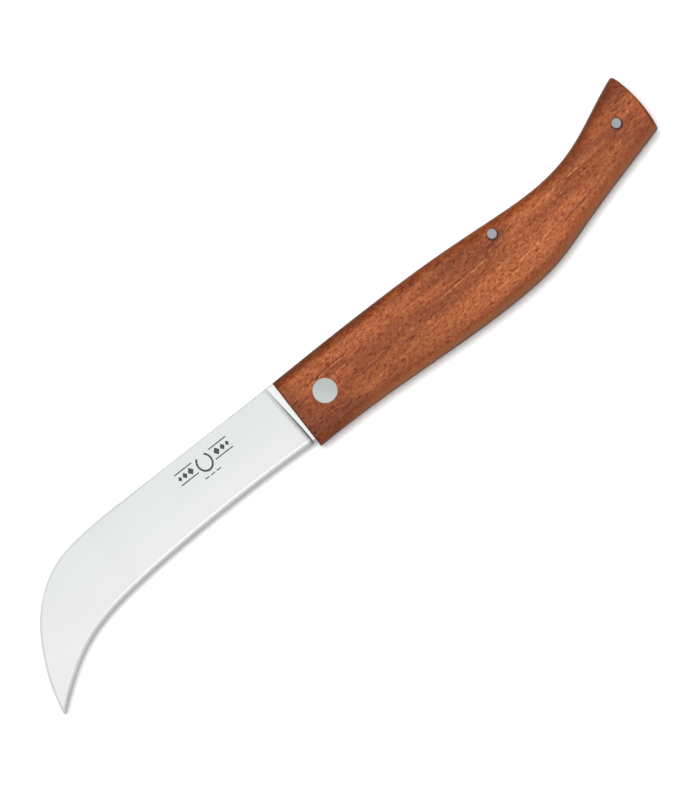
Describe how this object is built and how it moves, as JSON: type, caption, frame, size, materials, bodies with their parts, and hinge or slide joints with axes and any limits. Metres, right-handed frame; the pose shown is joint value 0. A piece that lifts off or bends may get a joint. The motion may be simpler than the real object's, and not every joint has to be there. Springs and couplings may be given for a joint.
{
  "type": "folding hoof knife",
  "caption": "Folding slip-joint knife with a hooked hawkbill blade, wooden scales with a raised butt, steel liners and backspring.",
  "frame": {"origin": "on the blade's pivot axis, in the plane of the rear scale's outer face, on which the knife rests", "axes": "+X along the handle from the pivot to the butt, +Y to the back of the handle and the spine of the open blade, +Z out of the front scale; the open blade points to -X with its edge to -Y"},
  "size_m": [0.2079, 0.0415, 0.0148],
  "materials": {
    "wood": "satin",
    "blade_steel": "satin",
    "spring_steel": "satin",
    "liner_steel": "satin",
    "rivet_steel": "satin"
  },
  "bodies": {
    "handle": {"front_scale": "wood", "rear_scale": "wood", "front_liner": "liner_steel", "rear_liner": "liner_steel", "backspring": "spring_steel", "rivet_tube": "rivet_steel", "rivet_post": "rivet_steel", "spring_pin": "rivet_steel", "butt_pin": "rivet_steel"},
    "blade": {"blade": "blade_steel"}
  },
  "joints": [
    {"name": "blade_fold", "type": "hinge", "parent": "handle", "child": "blade", "pos_m": [0, 0, 0], "axis": [0, 0, 1], "range_deg": [0, 170], "deforming": ["backspring"]}
  ]
}
